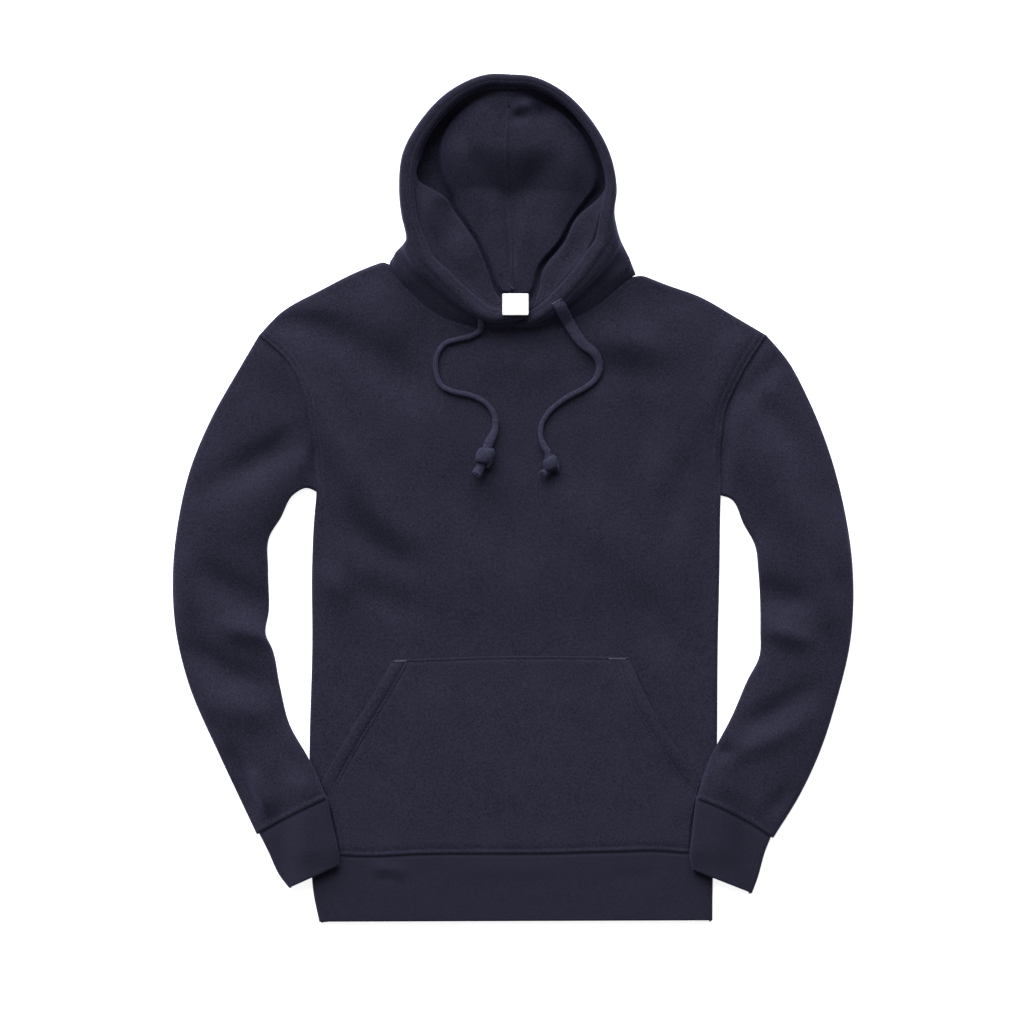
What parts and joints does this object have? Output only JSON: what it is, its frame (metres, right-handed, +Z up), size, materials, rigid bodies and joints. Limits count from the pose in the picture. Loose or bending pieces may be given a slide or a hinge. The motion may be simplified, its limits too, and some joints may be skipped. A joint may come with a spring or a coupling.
{
  "type": "pullover hoodie",
  "caption": "Pullover hoodie in heavy fleece, laid flat on its back with the hood open, kangaroo pocket, ribbed hem and cuffs, and a knotted drawcord.",
  "frame": {"origin": "centre of the whole garment's box in plan, on the surface that it lies on", "axes": "+Y from the hem to the top of the hood, +X towards the wearer's left side, +Z up out of the garment's front"},
  "size_m": [0.7429, 0.9238, 0.0451],
  "materials": {
    "fleece_body": "dark navy brushed fleece, matt, with a soft nap",
    "fleece_lining": "dark navy brushed fleece, matt",
    "rib_knit": "dark navy 1x1 rib knit, matt",
    "knit_tape": "dark navy flat knitted tape",
    "woven_tab": "off-white woven tab, blank"
  },
  "bodies": {
    "root": {"back_panel": "fleece_body", "front_panel": "fleece_body", "kangaroo_pocket": "fleece_body", "right_sleeve": "fleece_body", "left_sleeve": "fleece_body", "hood_right_panel": "fleece_body", "hood_left_panel": "fleece_body", "hood_lining_right": "fleece_lining", "hood_lining_left": "fleece_lining", "waistband": "rib_knit", "right_cuff": "rib_knit", "left_cuff": "rib_knit", "right_drawcord": "knit_tape", "left_drawcord": "knit_tape", "right_cord_knot": "knit_tape", "left_cord_knot": "knit_tape", "neck_label": "woven_tab"}
  },
  "joints": []
}
